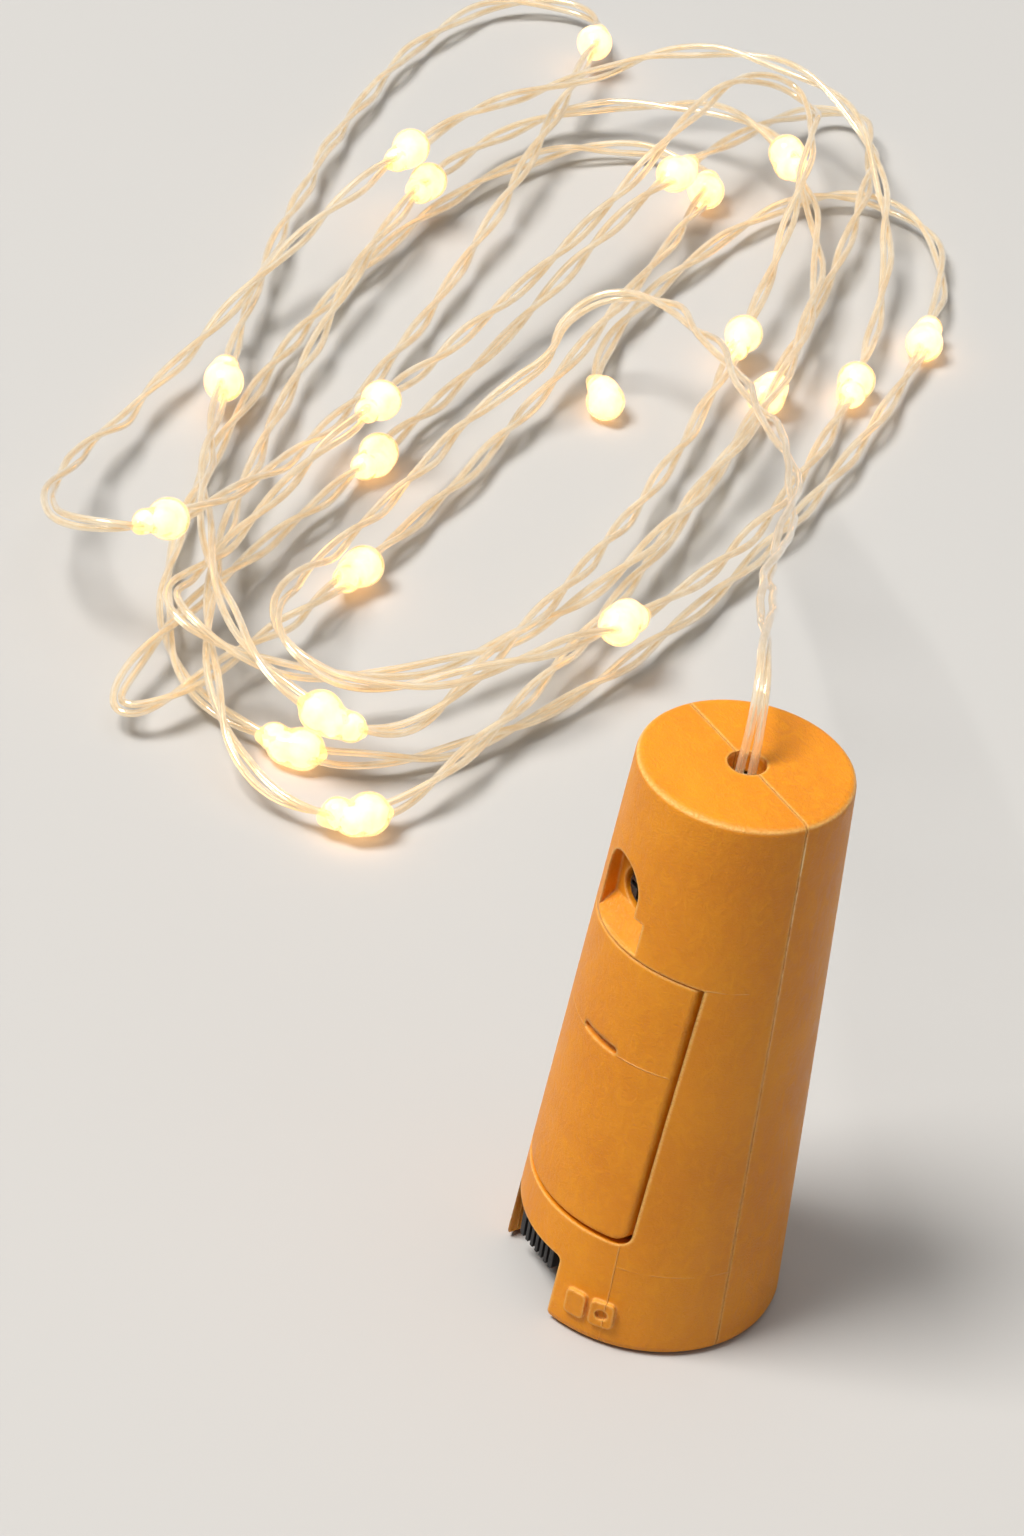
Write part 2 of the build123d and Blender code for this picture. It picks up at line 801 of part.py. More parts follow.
def crossings(samples):
    """Where a nearer stretch of string lies over a farther one, and the height it needs there."""
    radii = [cord_diameter / 2] * len(samples)
    for station in drop_stations:
        centre = round((station - 1) * samples_per_point)
        _, _, x, y = samples[centre]
        for near in range(max(centre - samples_per_point, 0), min(centre + samples_per_point, len(samples))):
            if hypot(samples[near][2] - x, samples[near][3] - y) < drop_length / 2 + lay_gap:
                radii[near] = drop_diameter / 2
    found = []
    for upper, (_, _, x, y) in enumerate(samples):
        for lower in range(upper + samples_per_point, len(samples)):
            need = radii[upper] + radii[lower] + lay_gap
            aside = hypot(samples[lower][2] - x, samples[lower][3] - y) - lay_margin
            if aside < need:
                found.append((upper, lower, sqrt(need * need - max(aside, 0) ** 2)))
    return found


def settle(plan):
    """Heights of the points, with the string laid from its far end and each run resting on those below."""
    samples = curve_samples(plan)
    laid_over = crossings(samples)
    floors = [landing_height] + [drop_diameter / 2] * (len(plan) - 1)
    heights = list(floors)
    rise = [lay_slope_share * hypot(b[0] - a[0], b[1] - a[1]) for a, b in zip(plan, plan[1:])]
    resting = [[] for _ in plan]
    for crossing in laid_over:
        for k in range(3):
            resting[samples[crossing[0]][0] + k - 1].append((crossing, k))

    def spare(crossing):
        upper, lower = samples[crossing[0]], samples[crossing[1]]
        return blend(heights, upper[0], upper[1]) - blend(heights, lower[0], lower[1]) - crossing[2]

    for lap in range(lay_laps):
        moved = 0
        for crossing in reversed(laid_over):
            short = -spare(crossing)
            if short > least_short:
                middle, weights = samples[crossing[0]][:2]
                moved = max(moved, short)
                total = sum(w * w for w in weights)
                for k in range(3):
                    heights[middle + k - 1] += short * weights[k] / total
        for i in list(range(len(rise))) + list(reversed(range(len(rise)))):
            low, high = heights[i + 1] - rise[i], heights[i] - rise[i]
            moved = max(moved, low - heights[i], high - heights[i + 1])
            heights[i] = max(heights[i], low)
            heights[i + 1] = max(heights[i + 1], high)
        if lap < lowering_laps and (lap % lowering_pace == 0 or moved < settled):
            for i in list(reversed(range(len(plan)))) * 3:
                low = floors[i]
                if i > 0:
                    low = max(low, heights[i - 1] - rise[i - 1])
                if i < len(rise):
                    low = max(low, heights[i + 1] - rise[i])
                room = heights[i] - low
                for crossing, k in resting[i]:
                    weight = samples[crossing[0]][1][k]
                    if weight > least_weight_share:
                        room = min(room, max(0, spare(crossing) / weight))
                heights[i] -= room
        elif moved < settled:
            break
    return heights


def coil_route():
    """Points of the whole coil where it lies."""
    plan = coil_plan()
    return [laid((x, y, z)) for (x, y), z in zip(plan, settle(plan))]


def route_radii(route, name):
    """Radius of the arc at each corner, as large as its two runs allow; prints what they come to."""
    radii = []
    turns = []
    for before, corner, after in zip(route, route[1:], route[2:]):
        arriving = Vector(*corner) - Vector(*before)
        leaving = Vector(*after) - Vector(*corner)
        turn = arriving.get_angle(leaving)
        turns.append(turn)
        radii.append(arc_share * min(arriving.length, leaving.length) / tan(radians(turn / 2)))
    print(name, "radii", [round(radius, 1) for radius in radii])
    print(name, "least radius", round(min(radii), 1), "most turn", round(max(turns), 1), "degrees")
    return radii


def cord_path(route, name):
    """Smooth path along a route."""
    return FilletPolyline(*route, radius=route_radii(route, name))


def cord_solid(path, name):
    """Cord along a path; prints how its volume compares with its section times its length."""
    section = wire_section(path, cord_diameter)
    solid = sweep(section, path=path)
    expected = section.area * path.length
    print(name, "length", round(path.length, 1), "volume over expected", round(solid.volume / expected, 4))
    return solid


def path_points(path):
    """Points along a path, with their distance from its start."""
    points = []
    travelled = 0.0
    for edge in path.edges():
        steps = max(1, round(edge.length / cord_diameter))
        for step in range(steps):
            place = edge @ (step / steps)
            points.append((place.X, place.Y, place.Z, travelled + edge.length * step / steps))
        travelled += edge.length
    return points


def least_gap(first, second, apart):
    """Least distance between two sets of path points, less the cord's diameter."""
    least = cork_height
    for x, y, z, place in first:
        for other_x, other_y, other_z, other_place in second:
            if other_place - place > apart:
                least = min(least, sqrt((x - other_x) ** 2 + (y - other_y) ** 2 + (z - other_z) ** 2))
    return least - cord_diameter


def drop_places(route):
    """Centre and direction of each lamp along the coil."""
    places = []
    for station in drop_stations:
        middle = int(station)
        t = station - middle
        centre = [blend([point[axis] for point in route], middle, curve_shares(t)) for axis in range(3)]
        slope_shares = (t - 1, 1 - 2 * t, t)
        heading = [blend([point[axis] for point in route], middle, slope_shares) for axis in range(3)]
        places.append((Vector(*centre), Vector(*heading)))
    places.append((Vector(*route[-1]), Vector(*route[-1]) - Vector(*route[-2])))
    return places


def tapered(wide, narrow, length):
    """A prism that narrows upward from one ring radius to another."""
    across = (wide - narrow) * cos(pi / drop_sides)
    return extrude(RegularPolygon(wide, drop_sides), amount=length, taper=degrees(atan2(across, length)))


def resin_drop():
    """Lobed drop of clear resin about its own axis."""
    half, radius = drop_length / 2, drop_diameter / 2
    neck, waist = radius * drop_neck_share, radius * drop_waist_share
    shoulder = half * drop_shoulder_share
    outer = tapered(radius, neck, half - shoulder)
    inner = tapered(radius, waist, shoulder)
    lobe = Pos(0, 0, shoulder) * (outer + Rot(180, 0, 0) * inner)
    return lobe + Rot(180, 0, 0) * lobe


def on_each_lamp(piece, route):
    """A copy of a piece at each lamp, in line with the cord."""
    places = [Plane(origin=centre, z_dir=heading) for centre, heading in drop_places(route)]
    return Compound(children=[place * piece for place in places])


def lamp_chip():
    """Lamp chip in the middle of a drop."""
    return Box(chip_block_width, chip_block_width, chip_block_length)


def main():
    """Builds every piece and writes one file for each."""
    os.makedirs("parts", exist_ok=True)
    coil = coil_route()
    start, second = Vector(*coil[0]), Vector(*coil[1])
    landing = start + (start - second).normalized() * lead_landing
    lead = [(0, 0, knot_top)] + [laid(point) for point in lead_route] + [tuple(landing), coil[0]]
    lead_path, coil_path = cord_path(lead, "string_lead"), cord_path(coil, "string_coil")
    coil_points = path_points(coil_path)
    lead_free = lead_path.length - 2 * lead_landing
    lead_points = [point for point in path_points(lead_path) if point[3] < lead_free]
    print("string_coil least gap to itself", round(least_gap(coil_points, coil_points, own_reach), 2))
    coil_after = [(x, y, z, lead_path.length + s) for x, y, z, s in coil_points]
    print("string_lead least gap to the coil", round(least_gap(lead_points, coil_after, 0), 2))
    pieces = {
        "front_shell": front_shell(),
        "back_shell": back_shell(),
        "battery_door": battery_door(),
        "shell_screw": shell_screw(),
        "negative_contact": negative_contact(),
        "negative_spring": negative_spring(),
        "positive_contact": positive_contact(),
        "switch_housing": switch_housing(),
        "switch_base": switch_base(),
        "switch_terminals": switch_terminals(),
        "switch_slider": switch_slider(),
        "circuit_board": circuit_board(),
        "control_chip": control_chip(),
        "resistor": resistor(),
        "black_lead": black_lead(),
        "red_lead": red_lead(),
        "string_knot": string_knot(),
        "string_tails": string_tails(),
        "string_lead": cord_solid(lead_path, "string_lead"),
        "string_coil": cord_solid(coil_path, "string_coil"),
        "led_drops": on_each_lamp(resin_drop(), coil),
        "led_chips": on_each_lamp(lamp_chip(), coil),
    }
    for number in range(cell_count):
        pieces[f"battery_cell_{number + 1}"] = battery_cell(number)
    for name, piece in pieces.items():
        export_step(piece, f"parts/{name}.step")


main()
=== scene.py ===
from math import cos, hypot, pi, radians, sin, sqrt

import bpy
from mathutils import Matrix, Vector, noise
from mathutils.kdtree import KDTree


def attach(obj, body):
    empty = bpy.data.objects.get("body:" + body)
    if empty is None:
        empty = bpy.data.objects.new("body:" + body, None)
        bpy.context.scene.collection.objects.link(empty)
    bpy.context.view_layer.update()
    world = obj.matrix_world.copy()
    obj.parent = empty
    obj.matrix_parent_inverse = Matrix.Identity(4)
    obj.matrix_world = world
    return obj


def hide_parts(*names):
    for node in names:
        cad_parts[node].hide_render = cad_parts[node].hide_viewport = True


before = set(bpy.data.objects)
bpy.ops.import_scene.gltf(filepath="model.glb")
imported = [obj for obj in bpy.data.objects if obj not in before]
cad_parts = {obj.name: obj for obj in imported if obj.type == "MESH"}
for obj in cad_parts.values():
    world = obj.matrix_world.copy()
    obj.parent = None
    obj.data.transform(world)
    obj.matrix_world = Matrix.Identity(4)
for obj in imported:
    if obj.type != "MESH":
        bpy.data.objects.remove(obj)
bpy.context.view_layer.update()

mm = 0.001

# Camera where the photograph was taken from, in millimetres and degrees
lay_angle = 50.0
camera_reach = 313.61
camera_height = 275.44
camera_bearing = 3.396
camera_pitch = 35.790
camera_roll = 9.988
camera_lens = 111.65
camera_film = 36.0

# String, in millimetres: the lead's points and the coil's sizes are those that the solids are made from
knot_top = 52.2
cork_height = 54.3
cord_diameter = 1.2
drop_diameter = 4.2
drop_length = 6.6
lead_landing = 5.0
landing_height = 6.5
lead_route = [
    (0.0, 0.0, 58.2), (-0.1, 3.4, 61.6), (-0.6, 11.4, 59.4), (-1.2, 24.7, 52.9),
    (-1.6, 40.8, 46.0), (-1.1, 58.9, 39.2), (-0.7, 74.3, 33.5), (-2.0, 89.2, 28.5),
    (-4.7, 102.4, 24.1), (-8.2, 115.0, 19.9), (-11.6, 126.0, 17.1), (-15.3, 134.2, 15.0),
    (-18.4, 139.4, 13.7), (-22.2, 142.6, 12.4), (-26.6, 142.6, 11.0), (-29.9, 138.8, 9.3),
]

# Where the coil turns back: x, y, and how far the run that follows bows outward
turn_ends = [
    (-33, 129, 3), (-50, 62, 34), (-17, 208, 21),
    (-67, 72, 9), (-40, 230, 26),
    (-38, 58, 12), (-13, 207, 3),
    (-60, 66, 37), (-27, 203, 24),
    (-39, 49, 14), (-6, 216, 4),
    (-62, 58, 9), (-21, 196, 27),
    (-45, 60, 24), (0, 197, 8),
    (-24, 137, 0),
]

# Where the lamps sit, counted in the coil's points
drop_stations = [
    6.1, 8.2, 13.8, 18.8, 23.8, 29.1, 32.0, 36.2, 43.2, 52.0,
    55.2, 60.4, 63.9, 69.2, 71.2, 76.4, 80.1, 88.1, 93.0,
]

# How the coil's runs bow, rest on one another and settle
long_run = 90.0
run_points = 7
short_run_points = 3
fullness_share = 0.7
lay_gap = 0.7
lay_margin = 0.35
lay_slope_share = 0.3
settled = 0.01
least_short = 0.001
least_weight_share = 0.03
lay_laps = 200
lowering_laps = 170
lowering_pace = 30
samples_per_point = 12

# The two clear wires of the string, twisted round its route
strand_radius = 0.38
strand_sides = 10
core_radius = 0.07
core_sides = 7
twist_length = 27.0
twist_change = 9.0
lead_twist_more = 55.0
lead_twist_reach = 150.0
loosest_reach = 1.05
tightest_reach = 0.76
strand_clearance = 0.05
strand_waver = 0.5
strand_near = 4.0
line_steps = 24
reach_width = line_steps // 3

# Slow changes along the string: how long their waves are, how large they are, and the noise that each reads
twist_wave = 40
twist_row = (2.0, 5.0)
looseness_wave = 22
looseness_row = (9.0, 1.0)
looseness_middle = 0.5
looseness_change = 0.9
waver_wave = 9
side_row = (21.0, 4.0)
other_row = (33.0, 8.0)
lean_wave = 18
lean_layer = 3.0
lean_change = 0.5

# Resin drops
drop_rings = 26
drop_slices = 28
drop_step = 3.17
kind_step = 5.31
drop_seed = 7.3
union_power = 7
glow_share = 0.60
lit_lobes = 3
drop_clearance = 0.03

# Swellings of a drop: places and sizes are shares of its half length and radius, and sways are in millimetres
main_place, main_place_change = 0.34, 0.08
main_size = 1.04
second_place, second_place_change = 0.60, 0.12
second_sway = 0.5
second_size, second_size_change = 0.68, 0.16
third_place, third_place_change = 0.14, 0.12
third_sway = 1.3
third_size, third_size_change = 0.82, 0.10
neck_place = 0.92
neck_sway = 0.3
neck_size, neck_size_change = 0.44, 0.10
collar_place = 0.86
collar_size = 0.40

# Light of the room, and how pale it looks
room_colour = (1.0, 0.985, 0.96, 1)
world_light = 0.19
world_shown = 0.62
floor_colour = (0.50, 0.495, 0.485, 1)
floor_half = 6.0
floor_near = 500.0
floor_far = 3200.0
floor_shown = 0.42

# Cork
cork_base_radius = 12.0
cork_top_radius = 9.0

# Thin plastic squeezed out along the seam
flash_radius = 0.07
flash_sides = 6
flash_points = 60
flash_high = 53.6
flash_low = 2.0
flash_aside = 0.07
flash_sink = 0.035
flash_fade = 0.055
flash_waver = 0.04
flash_waver_grain = (0.7, 4.0, 2.0)
flash_change = 0.02
flash_change_grain = (0.5, 7.0, 8.0)
flash_pale_from = 22.0
flash_pale_to = 53.0

# Fine lines that the mould left: heights in millimetres, and degrees round the cork from its front
upper_line_height = 38.3
upper_line_width = 0.10
upper_line_start = 54.0
upper_line_end = 72.0
lower_line_height = 8.7
lower_line_width = 0.12
lower_line_start = 42.0
lower_line_end = 90.0
lower_line_share = 0.5
round_line_soft = 3.0
upright_line_angle = 39.5
upright_line_width = 0.55
upright_line_low = 0.4
upright_line_high = 10.6

# The mould line on either side of the door's thumb slot
door_line_height = 29.0
door_line_width = 0.10
door_slot_aside = 0.95
door_line_start = 2.4
door_line_end = 6.2
door_line_soft = 0.4
door_front = -7.6
door_front_end = -7.2

# Amber plastic
amber_deep = (0.690, 0.226, 0.0035, 1)
amber_bright = (0.775, 0.276, 0.0060, 1)
amber_streak = (0.840, 0.335, 0.011, 1)
amber_scuffed = (0.880, 0.410, 0.045, 1)
# Pale colour of the edges: partly wear, partly painted highlight
amber_wear_and_highlight = (0.940, 0.520, 0.150, 1)
amber_mark = (0.930, 0.500, 0.150, 1)
amber_seam = (0.740, 0.255, 0.016, 1)
amber_seam_pale = (1.000, 0.700, 0.330, 1)
scuff_share = 0.20
mark_share = 0.55
# Pale line round the top rim: a painted highlight
rim_highlight_height = 54.03
rim_highlight_width = 0.26
edge_wear_and_highlight_width = 0.5
plastic_ior = 1.49
amber_depth = 0.13
grain_relief = 0.62
streak_relief = 0.70
scuff_relief = 0.12
mark_relief = 0.8
shell_rounding = 0.3
door_rounding = 0.6

# Materials: where most of the noise lies, and how edges are read
noise_span = (0.3, 0.7)
noise_core = (0.35, 0.65)
bevel_samples = 6
edge_sharp = 0.80
edge_flat = 0.995
rubbed_gain = 1.5
rubbed_lift = 0.03
stain_shade = 0.6
sleeve_rough = (0.30, 0.45)


def laid(point):
    """A point of the string's lie, turned to where the string lies behind the cork."""
    x, y, z = point
    turn = radians(lay_angle)
    return (x * cos(turn) - y * sin(turn), x * sin(turn) + y * cos(turn), z)


def coil_plan():
    """Plan points of the coil, each run bowed outward between the ends where the string turns back."""
    points = [turn_ends[0][:2]]
    for (x, y, bow), (next_x, next_y, _) in zip(turn_ends, turn_ends[1:]):
        across, along = next_x - x, next_y - y
        reach = hypot(across, along)
        steps = run_points if reach > long_run else short_run_points
        for step in range(steps):
            phase = pi * (step + 0.5) / steps
            part = (1 - cos(phase)) / 2
            aside = bow * sin(phase) ** fullness_share / reach
            points.append((x + across * part + along * aside, y + along * part - across * aside))
    points.append(turn_ends[-1][:2])
    return points


def curve_shares(t):
    """How much each of three neighbouring points counts, t of the way round the middle one."""
    return ((1 - t) ** 2 / 2, 0.5 + t - t * t, t * t / 2)


def blend(values, middle, weights):
    """Weighted middle of three neighbouring values."""
    return sum(values[middle + k - 1] * weights[k] for k in range(3))


def curve_samples(plan):
    """Points along the smooth line: (middle point, shares, x, y)."""
    xs, ys = zip(*plan)
    samples = []
    for middle in range(1, len(plan) - 1):
        for step in range(samples_per_point):
            weights = curve_shares(step / samples_per_point)
            samples.append((middle, weights, blend(xs, middle, weights), blend(ys, middle, weights)))
    return samples


def crossings(samples):
    """Where a nearer stretch of string lies over a farther one, and the height it needs there."""
    radii = [cord_diameter / 2] * len(samples)
    for station in drop_stations:
        centre = round((station - 1) * samples_per_point)
        _, _, x, y = samples[centre]
        for near in range(max(centre - samples_per_point, 0), min(centre + samples_per_point, len(samples))):
            if hypot(samples[near][2] - x, samples[near][3] - y) < drop_length / 2 + lay_gap:
                radii[near] = drop_diameter / 2
    found = []
    for upper, (_, _, x, y) in enumerate(samples):
        for lower in range(upper + samples_per_point, len(samples)):
            need = radii[upper] + radii[lower] + lay_gap
            aside = hypot(samples[lower][2] - x, samples[lower][3] - y) - lay_margin
            if aside < need:
                found.append((upper, lower, sqrt(need * need - max(aside, 0) ** 2)))
    return found


def settle(plan):
    """Heights of the points, with the string laid from its far end and each run resting on those below."""
    samples = curve_samples(plan)
    laid_over = crossings(samples)
    floors = [landing_height] + [drop_diameter / 2] * (len(plan) - 1)
    heights = list(floors)
    rise = [lay_slope_share * hypot(b[0] - a[0], b[1] - a[1]) for a, b in zip(plan, plan[1:])]
    resting = [[] for _ in plan]
    for crossing in laid_over:
        for k in range(3):
            resting[samples[crossing[0]][0] + k - 1].append((crossing, k))

    def spare(crossing):
        upper, lower = samples[crossing[0]], samples[crossing[1]]
        return blend(heights, upper[0], upper[1]) - blend(heights, lower[0], lower[1]) - crossing[2]

    for lap in range(lay_laps):
        moved = 0
        for crossing in reversed(laid_over):
            short = -spare(crossing)
            if short > least_short:
                middle, weights = samples[crossing[0]][:2]
                moved = max(moved, short)
                total = sum(w * w for w in weights)
                for k in range(3):
                    heights[middle + k - 1] += short * weights[k] / total
        for i in list(range(len(rise))) + list(reversed(range(len(rise)))):
            low, high = heights[i + 1] - rise[i], heights[i] - rise[i]
            moved = max(moved, low - heights[i], high - heights[i + 1])
            heights[i] = max(heights[i], low)
            heights[i + 1] = max(heights[i + 1], high)
        if lap < lowering_laps and (lap % lowering_pace == 0 or moved < settled):
            for i in list(reversed(range(len(plan)))) * 3:
                low = floors[i]
                if i > 0:
                    low = max(low, heights[i - 1] - rise[i - 1])
                if i < len(rise):
                    low = max(low, heights[i + 1] - rise[i])
                room = heights[i] - low
                for crossing, k in resting[i]:
                    weight = samples[crossing[0]][1][k]
                    if weight > least_weight_share:
                        room = min(room, max(0, spare(crossing) / weight))
                heights[i] -= room
        elif moved < settled:
            break
    return heights


def coil_route():
    """Points of the whole coil where it lies."""
    plan = coil_plan()
    return [laid((x, y, z)) for (x, y), z in zip(plan, settle(plan))]


def string_route():
    """Control points of the whole string, and how many come before the coil's first."""
    coil = coil_route()
    start, second = Vector(coil[0]), Vector(coil[1])
    landing = start + (start - second).normalized() * lead_landing
    lead = [(0, 0, knot_top)] + [laid(point) for point in lead_route] + [tuple(landing)]
    return lead + coil, len(lead)


def route_curve(points):
    """The string's route as one smooth spline."""
    data = bpy.data.curves.new("string_route", "CURVE")
    data.dimensions = "3D"
    data.resolution_u = line_steps
    spline = data.splines.new("NURBS")
    spline.points.add(len(points) - 1)
    for control, place in zip(spline.points, points):
        control.co = (place[0] * mm, place[1] * mm, place[2] * mm, 1.0)
    spline.order_u = 3
    spline.use_endpoint_u = True
    return bpy.data.objects.new("string_route", data)


def line_of(curve):
    """Points along a curve, in millimetres."""
    bpy.context.scene.collection.objects.link(curve)
    mesh = bpy.data.meshes.new_from_object(curve)
    points = [vertex.co / mm for vertex in mesh.vertices]
    bpy.data.meshes.remove(mesh)
    bpy.data.objects.remove(curve)
    return points


def travelled(line):
    """Distance along the line of each of its points."""
    distances = [0.0]
    for before, after in zip(line, line[1:]):
        distances.append(distances[-1] + (after - before).length)
    return distances


def headings(line):
    """Direction of the line at each point."""
    ways = []
    for place in range(len(line)):
        way = line[min(place + 1, len(line) - 1)] - line[max(place - 1, 0)]
        ways.append(way.normalized())
    return ways


def level_frames(ways):
    """Two directions square to the line at each point, carried along it without turning."""
    side = ways[0].orthogonal().normalized()
    frames = []
    for way in ways:
        side = (side - way * side.dot(way)).normalized()
        frames.append((side, way.cross(side)))
    return frames


def clear_reach(line, distances):
    """How far from the line the strands may go at each point, clear of other stretches."""
    tree = KDTree(len(line))
    for place, point in enumerate(line):
        tree.insert(point, place)
    tree.balance()
    reach = []
    for point, distance in zip(line, distances):
        nearest = strand_near
        for _, other, apart in tree.find_range(point, strand_near):
            if abs(distances[other] - distance) > 2 * strand_near:
                nearest = min(nearest, apart)
        reach.append(max(nearest / 2 - strand_clearance, tightest_reach))
    return reach


def smoothed(values, width):
    """Least value near each place, then averaged, so that the reach eases in and out."""
    count = len(values)
    least = [min(values[max(i - width, 0):i + width + 1]) for i in range(count)]
    eased = []
    for i in range(count):
        near = least[max(i - width, 0):i + width + 1]
        eased.append(sum(near) / len(near))
    return eased


def change_along(distance, wave, row):
    """Slow smooth change along the string."""
    return noise.noise(Vector((distance / wave, *row)))


def strand_lines(line, distances, frames):
    """Centre lines of the two strands as they twist about the route."""
    reach = smoothed(clear_reach(line, distances), reach_width)
    turn = 0.0
    strands = ([], [])
    for place, (point, distance, (side, other)) in enumerate(zip(line, distances, frames)):
        if place:
            length = twist_length + twist_change * change_along(distance, twist_wave, twist_row)
            length += lead_twist_more * max(1 - distance / lead_twist_reach, 0)
            turn += 2 * pi * (distance - distances[place - 1]) / length
        change = change_along(distance, looseness_wave, looseness_row)
        looseness = looseness_middle + looseness_change * change
        wanted = tightest_reach + (loosest_reach - tightest_reach) * min(max(looseness, 0), 1)
        away = min(wanted, reach[place]) - strand_radius
        slack = strand_waver * min(max(reach[place] - loosest_reach, 0), 1)
        point = point + side * slack * change_along(distance, waver_wave, side_row)
        point = point + other * slack * change_along(distance, waver_wave, other_row)
        for strand, start in zip(strands, (0.0, pi)):
            angle = turn + start + lean_change * change_along(distance, lean_wave, (start, lean_layer))
            strand.append(point + (side * cos(angle) + other * sin(angle)) * away)
    return strands


def tube_mesh(line, radius, sides, vertices, faces):
    """Adds a closed tube round a line to lists of vertices and faces."""
    frames = level_frames(headings(line))
    first = len(vertices)
    for point, (side, other) in zip(line, frames):
        for step in range(sides):
            angle = 2 * pi * step / sides
            vertices.append((point + (side * cos(angle) + other * sin(angle)) * radius) * mm)
    for ring in range(len(line) - 1):
        low = first + ring * sides
        for step in range(sides):
            after = (step + 1) % sides
            faces.append((low + step, low + after, low + sides + after, low + sides + step))
    faces.append(tuple(reversed(range(first, first + sides))))
    last = first + (len(line) - 1) * sides
    faces.append(tuple(range(last, last + sides)))


def mesh_piece(name, vertices, faces, body, materials):
    """A mesh object that rides on a body, shaded smooth."""
    mesh = bpy.data.meshes.new(name)
    mesh.from_pydata([tuple(vertex) for vertex in vertices], [], faces)
    mesh.shade_smooth()
    for material in materials:
        mesh.materials.append(material)
    piece = bpy.data.objects.new(name, mesh)
    bpy.context.scene.collection.objects.link(piece)
    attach(piece, body)
    return piece


def use_second(piece, first):
    """Gives a piece's faces, from one of them on, its second material."""
    for face in list(piece.data.polygons)[first:]:
        face.material_index = 1


def light_string(line, sleeve, wire):
    """The string: two clear sleeves twisted together, each with its fine metal core."""
    distances = travelled(line)
    strands = strand_lines(line, distances, level_frames(headings(line)))
    vertices, faces = [], []
    for strand in strands:
        tube_mesh(strand, strand_radius, strand_sides, vertices, faces)
    sleeve_faces = len(faces)
    for strand in strands:
        tube_mesh(strand, core_radius, core_sides, vertices, faces)
    piece = mesh_piece("light_string", vertices, faces, "root", [sleeve, wire])
    use_second(piece, sleeve_faces)
    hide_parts("string_lead", "string_coil")
    return piece


def lobes_of(number):
    """Centres along and aside and radii of the swellings of one drop."""
    def change(kind):
        """How far one thing about this drop departs from its middle, either way."""
        return noise.noise(Vector((number * drop_step, kind * kind_step, drop_seed)))

    half, radius = drop_length / 2, drop_diameter / 2
    end = 1 if number % 2 else -1
    main = (end * half * (main_place + main_place_change * change(1)), 0.0, 0.0, radius * main_size)
    second = (-end * half * (second_place + second_place_change * change(2)),
              second_sway * change(3), second_sway * change(4),
              radius * (second_size + second_size_change * change(5)))
    third = (-end * half * (third_place + third_place_change * change(12)),
             third_sway * change(6), third_sway * change(7),
             radius * (third_size + third_size_change * change(8)))
    neck = (-end * half * neck_place, neck_sway * change(9), neck_sway * change(10),
            radius * (neck_size + neck_size_change * change(11)))
    collar = (end * half * collar_place, 0.0, 0.0, radius * collar_size)
    return [main, second, third, neck, collar]


def drop_reach(lobes, along, across, up):
    """Distance from the drop's axis to its surface in one direction."""
    total = 0.0
    for centre, aside, above, radius in lobes:
        ring = radius ** 2 - (along - centre) ** 2
        if ring <= 0:
            continue
        toward = aside * across + above * up
        inside = ring - aside ** 2 - above ** 2 + toward ** 2
        if inside > 0:
            total += max(toward + sqrt(inside), 0) ** union_power
    return total ** (1 / union_power)


def lobed_form(lobes, centre, heading, vertices, faces):
    """Adds one closed lobed form, set along a line, to lists of vertices and faces."""
    low = min(along - radius for along, _, _, radius in lobes)
    high = max(along + radius for along, _, _, radius in lobes)
    side = heading.orthogonal().normalized()
    other = heading.cross(side)
    start = len(vertices)
    vertices.append(centre + heading * low)
    for ring in range(1, drop_rings):
        along = (low + high) / 2 - (high - low) / 2 * cos(pi * ring / drop_rings)
        for step in range(drop_slices):
            angle = 2 * pi * step / drop_slices
            reach = drop_reach(lobes, along, cos(angle), sin(angle))
            vertices.append(centre + heading * along + (side * cos(angle) + other * sin(angle)) * reach)
    vertices.append(centre + heading * high)
    end = len(vertices) - 1
    for ring in range(drop_rings - 2):
        first = start + 1 + ring * drop_slices
        above = first + drop_slices
        for step in range(drop_slices):
            after = (step + 1) % drop_slices
            faces.append((first + step, first + after, above + after, above + step))
    last = end - drop_slices
    for step in range(drop_slices):
        after = (step + 1) % drop_slices
        faces.append((start, start + 1 + after, start + 1 + step))
        faces.append((last + step, last + after, end))


def lit_drop(number, centre, heading, materials):
    """One lobed resin drop over its lamp, with the glow that fills its middle."""
    lobes = lobes_of(number)
    vertices, faces = [], []
    lobed_form(lobes, centre, heading, vertices, faces)
    resin_faces = len(faces)
    inner = [(along, aside, above, radius * glow_share) for along, aside, above, radius in lobes[:lit_lobes]]
    lobed_form(inner, centre, heading, vertices, faces)
    grounded = [Vector((point.x, point.y, max(point.z, drop_clearance))) * mm for point in vertices]
    piece = mesh_piece(f"resin_drop_{number + 1:02d}", grounded, faces, "root", materials)
    use_second(piece, resin_faces)
    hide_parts("led_drops", "led_chips")
    return piece


def lamp_places(line, count, before):
    """Centre and direction of each lamp, read from the string's line."""
    ways = headings(line)
    stretches = count - 2
    places = []
    for station in drop_stations:
        place = round((before + station - 1) / stretches * (len(line) - 1))
        places.append((line[place], ways[place]))
    places.append((line[-1], ways[-1]))
    return places


def cork_side(height):
    """Outer radius of the cork at a height."""
    return cork_base_radius + (cork_top_radius - cork_base_radius) * height / cork_height


def seam_change(place, side, grain):
    """Small smooth change at a place along one side of the seam."""
    step, row, layer = grain
    return noise.noise(Vector((place * step, side * row, layer)))


